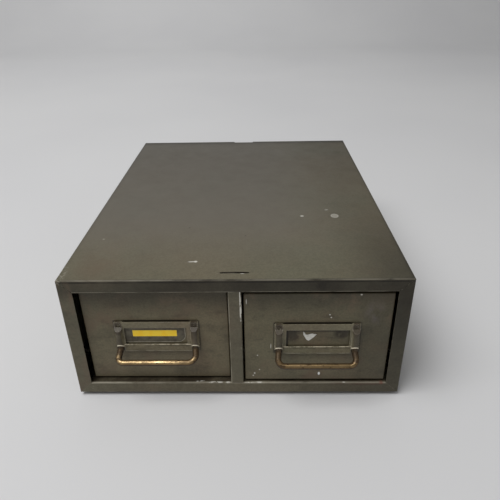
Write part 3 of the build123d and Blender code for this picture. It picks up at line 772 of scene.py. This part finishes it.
def mouth_rim(skin):
    """Bright metal round the front of each barrel's slanted mouth, where the wire has rubbed."""
    rims = []
    for hand, sides in (("left", (-190.0, 0.0)), ("right", (0.0, 190.0))):
        low, high = holder_boxes[hand]
        steep = MOUTH_CUT / (high[1] - low[1] - MOUTH_LIP)
        start = low[2] + BARREL_RISE + steep * (high[1] - MOUTH_LIP)
        place = skin.plus(skin.axis("z"), skin.times(skin.axis("y"), steep))
        above = skin.math("DIVIDE", skin.minus(place, start), MM)
        front = skin.fade(skin.axis("y"), high[1] - 5.4 * MM, high[1] - 3.0 * MM)
        rims.append(skin.all_of(skin.fade(above, 1.0, 2.0), skin.span("x", *sides), front))
    return skin.most(*rims)


def barrel_middles():
    """The hand and the middle line of each of the four barrels."""
    return [(hand, holder_middle(hand) + side * BARREL_SPACING / 2)
            for hand in HANDS for side in (-1, 1)]


def barrel_marks(skin, start_mm, end_mm, soft_mm):
    """A band on both sides of every barrel's middle line, between two distances from it."""
    bands = []
    for _, middle in barrel_middles():
        away = skin.math("ABSOLUTE", skin.minus(skin.axis("x"), middle))
        bands.append(skin.band(skin.math("DIVIDE", away, MM), start_mm, end_mm, soft_mm))
    return skin.most(*bands)


# Darker along the middle of each barrel.
def barrel_middle_darkening(skin):
    return skin.all_of(barrel_marks(skin, -2.0, 3.5, 0.8),
                       skin.ragged(60.0, 0.15, 0.60, (1, 1, 0.5)))


def barrel_edge(skin):
    """The rubbed sides of the barrels."""
    return skin.all_of(barrel_marks(skin, 4.2, 5.1, 0.3),
                       skin.ragged(130.0, 0.40, 0.55, (1, 1, 0.4)))


def rivet_dirt(skin):
    """Dirt round the rivets of the label holders."""
    rings = []
    for hand, middle in barrel_middles():
        low, high = holder_boxes[hand]
        away = skin.distance((middle, low[1], high[2] - RIVET_DROP), (5.6, 30.0, 8.6))
        rings.append(skin.all_of(skin.between(away, 0.25, 0.45, 0.4, 1.0),
                                 skin.fade(away, 0.8, 1.1)))
    return skin.all_of(skin.most(*rings), skin.ragged(120.0, 0.10, 0.50))


def holder_foot(skin):
    """The rubbed lower edge of the label holders."""
    return skin.all_of(skin.span("z", 67.4, 69.2), skin.ragged(240.0, 0.44, 0.56, (0.4, 1, 1)))


def below_sill(skin):
    """A dark line under the sills of the windows."""
    return skin.all_of(skin.span("z", 75.6, 77.3, 0.5),
                       skin.ragged(200.0, 0.38, 0.56, (0.5, 1, 1)))


def window_sill(skin):
    """The rubbed lower edge of the windows."""
    return skin.all_of(skin.span("z", 77.4, 79.0), skin.ragged(300.0, 0.43, 0.53, (0.5, 1, 1)))


def dress_drawers():
    faces = {}
    faces["left"] = enamel("left_drawer_enamel", DRAWER_OLIVE, wear=0.45, rust=0.4, under=(
        (drawer_shade, GRIME_AND_SHADE, 0.9),
        (brown_patches, OLIVE_BROWN, 0.8),
        (smudges, GRIME_AND_SHADE, 0.42),
    ), over=(
        (slot_and_window_shadow("left"), GRIME_AND_SHADE, 0.85),
        (holder_outline_shade("left"), GRIME_AND_SHADE, 0.7),
    ))
    faces["right"] = enamel("right_drawer_enamel", DRAWER_OLIVE, wear=0.45, rust=0.6, under=(
        (drawer_shade, GRIME_AND_SHADE, 0.9),
        (brown_patches, OLIVE_BROWN, 0.9),
        (smudges, GRIME_AND_SHADE, 0.42),
    ), over=(
        (slot_and_window_shadow("right"), GRIME_AND_SHADE, 0.85),
        (holder_outline_shade("right"), GRIME_AND_SHADE, 0.7),
        (window_stain_and_shadow, WINDOW_DUST_AND_SHADE, 0.75),
        (grey_bloom, GREY_BLOOM, 0.45),
        (spots(RIGHT_SPECKS), PALE_MARK, 0.75),
        (spots(RIGHT_SPLASH), WHITE_SPLASH, 1.0),
    ))
    holder = enamel("holder_enamel", HOLDER_OLIVE, wear=0.95, rust=0.7, under=(
        (smudges, GRIME_AND_SHADE, 0.45),
        (barrel_middle_darkening, BARREL_DARK_TONE, 0.70),
        (rivet_dirt, RIVET_DUST, 0.85),
        (below_sill, GRIME_AND_SHADE, 0.55),
    ), over=(
        (barrel_edge, RUBBED_EDGE, 0.60),
        (holder_foot, RUBBED_EDGE, 0.45),
        (window_sill, RUBBED_SILL, 0.9),
        (mouth_rim, RUBBED_MOUTH, 0.95),
    ))
    tray = enamel("tray_enamel", wear=0.4, rust=0.15)
    finishes = {
        "left_label_tape": tape_vinyl("tape_vinyl"),
        "right_paper_scrap": torn_paper("torn_paper"),
    }
    for hand in HANDS:
        bar_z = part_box(f"{hand}_bail_handle")[0][2] + BAR_RISE
        bronze = bronze_wire(f"{hand}_bail_bronze", bar_z, POLISH_AND_HIGHLIGHT[hand])
        finishes[f"{hand}_drawer_front"] = faces[hand]
        finishes[f"{hand}_bail_handle"] = bronze
        for piece in ("label_holder", "holder_rivets"):
            finishes[f"{hand}_{piece}"] = holder
        for piece in ("drawer_tray", "drawer_back", "follower_plate"):
            finishes[f"{hand}_{piece}"] = tray
    return finishes


def paint(finishes):
    for name, material in finishes.items():
        mesh = nodes[name].data
        mesh.materials.clear()
        mesh.materials.append(material)


def add_object(name, data):
    thing = bpy.data.objects.new(name, data)
    bpy.context.collection.objects.link(thing)
    return thing


# ---- The card behind the tape ----------------------------------------------------------
CARD_LEFT = 11 * MM                 # from the left end and the foot of the holder
CARD_BOTTOM = 11.6 * MM
CARD_TOP = 40.0 * MM
CARD_RIGHT = -60.5                  # in mm from the middle of the front frame
CARD_CORNER = 10 * MM
CARD_RIM = 1.0 * MM
CARD_THICKNESS = 0.3 * MM
CARD_CORNER_STEPS = 12


def add_card():
    """The card under the tape; its right end is rounded, and its rim is rubbed pale."""
    low, high = holder_boxes["left"]
    left = low[0] + CARD_LEFT
    right = at_front(CARD_RIGHT, 0, 0).x
    bottom = low[2] + CARD_BOTTOM
    top = low[2] + CARD_TOP
    back = high[1]
    front = back - CARD_THICKNESS

    def outline(inset):
        points = [(left, bottom + inset), (left, top), (right - inset, top)]
        for step in range(CARD_CORNER_STEPS + 1):
            turn = Matrix.Rotation(radians(-90.0 * step / CARD_CORNER_STEPS), 2)
            turned = turn @ Vector((CARD_CORNER - inset, 0.0))
            points.append((right - CARD_CORNER + turned.x, bottom + CARD_CORNER + turned.y))
        return points

    outer = outline(0.0)
    inner = outline(CARD_RIM)
    count = len(outer)
    vertices = [(x, front, z) for x, z in outer]
    vertices += [(x, front, z) for x, z in inner]
    vertices += [(x, back, z) for x, z in outer]
    faces = [tuple(range(count, 2 * count)), tuple(reversed(range(2 * count, 3 * count)))]
    for i in range(count):
        following = (i + 1) % count
        faces.append((i, following, following + count, i + count))
        faces.append((following, i, i + 2 * count, following + 2 * count))
    mesh = bpy.data.meshes.new("left_window_card")
    mesh.from_pydata(vertices, [], faces)
    mesh.materials.append(card_stock("card_face", CARD_FACE, CARD_FACE_DARK))
    mesh.materials.append(card_stock("card_rim", RUBBED_EDGE, CARD_RIM_DARK))
    for polygon in mesh.polygons[2:]:
        polygon.material_index = 1
    card = add_object("left_window_card", mesh)
    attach(card, "left_drawer")


# ---- Floor, light and camera, in metres --------------------------------------------------
FLOOR_HALF_WIDTH = 16.0
FLOOR_START = -14.0
FLOOR_BEND = 3.0                    # where the flat floor starts to curve up
FLOOR_CURVE = 1.6
FLOOR_CURVE_STEPS = 24
WALL_TOP = 6.0
ROOM_STRENGTH = 0.27


def add_floor():
    """A paper sweep: flat floor that curves up far behind the cabinet."""
    profile = [(FLOOR_START, 0.0)]
    for step in range(FLOOR_CURVE_STEPS + 1):
        turn = Matrix.Rotation(radians(90.0 * step / FLOOR_CURVE_STEPS), 2)
        bend = turn @ Vector((0.0, -FLOOR_CURVE))
        profile.append((FLOOR_BEND + bend.x, FLOOR_CURVE + bend.y))
    profile.append((FLOOR_BEND + FLOOR_CURVE, WALL_TOP))
    vertices = [(x, y, z) for y, z in profile for x in (-FLOOR_HALF_WIDTH, FLOOR_HALF_WIDTH)]
    faces = [(2 * i, 2 * i + 1, 2 * i + 3, 2 * i + 2) for i in range(len(profile) - 1)]
    mesh = bpy.data.meshes.new("floor")
    mesh.from_pydata(vertices, [], faces)
    mesh.materials.append(floor_paper("floor_paper"))
    for polygon in mesh.polygons:
        polygon.use_smooth = True
    floor = add_object("floor", mesh)


def add_area(name, place, target, size, power):
    lamp = bpy.data.lights.new(name, "AREA")
    lamp.shape = "RECTANGLE"
    lamp.size, lamp.size_y = size
    lamp.energy = power
    holder = add_object(name, lamp)
    holder.location = place
    holder.rotation_euler = (Vector(target) - Vector(place)).to_track_quat("-Z", "Y").to_euler()


def add_light():
    """Soft light from the room, a large lamp at the upper left, and one for the backdrop."""
    world = bpy.data.worlds.new("room")
    bpy.context.scene.world = world
    world.use_nodes = True
    room = world.node_tree.nodes["Background"]
    room.inputs["Color"].default_value = (1.0, 1.0, 1.0, 1.0)
    room.inputs["Strength"].default_value = ROOM_STRENGTH
    add_area("key", (-1.10, -0.95, 2.9), (0, 0, 0.1), size=(2.0, 2.0), power=75.0)
    add_area("backdrop", (-1.3, 1.9, 2.8), (-1.0, 4.4, 0.9), size=(3.0, 1.2), power=30.0)


CAMERA_PLACE = (26.9, -453.4, 468.6)          # mm from the middle of the front frame
CAMERA_AHEAD = Vector((-0.0244, 0.8843, -0.4662))
CAMERA_RIGHT = Vector((0.9997, 0.0177, -0.0189))
SENSOR = 36.0
FOCAL_PX = 489.6
IMAGE_PX = 500.0
PRINCIPAL_PX = (245.9, 234.6)


def add_camera():
    camera = bpy.data.cameras.new("camera")
    camera.sensor_width = SENSOR
    camera.lens = SENSOR * FOCAL_PX / IMAGE_PX
    camera.shift_x = 0.5 - PRINCIPAL_PX[0] / IMAGE_PX
    camera.shift_y = PRINCIPAL_PX[1] / IMAGE_PX - 0.5
    camera.clip_start = 0.02
    view = add_object("camera", camera)
    back = -CAMERA_AHEAD.normalized()
    right = (CAMERA_RIGHT - back * CAMERA_RIGHT.dot(back)).normalized()
    up = back.cross(right)
    turn = Matrix((right, up, back)).transposed()
    view.matrix_world = Matrix.Translation(at_front(*CAMERA_PLACE)) @ turn.to_4x4()
    bpy.context.scene.camera = view


paint(dress_cabinet())
paint(dress_drawers())
add_card()
add_floor()
add_light()
add_camera()
bpy.context.scene.view_settings.view_transform = "Standard"
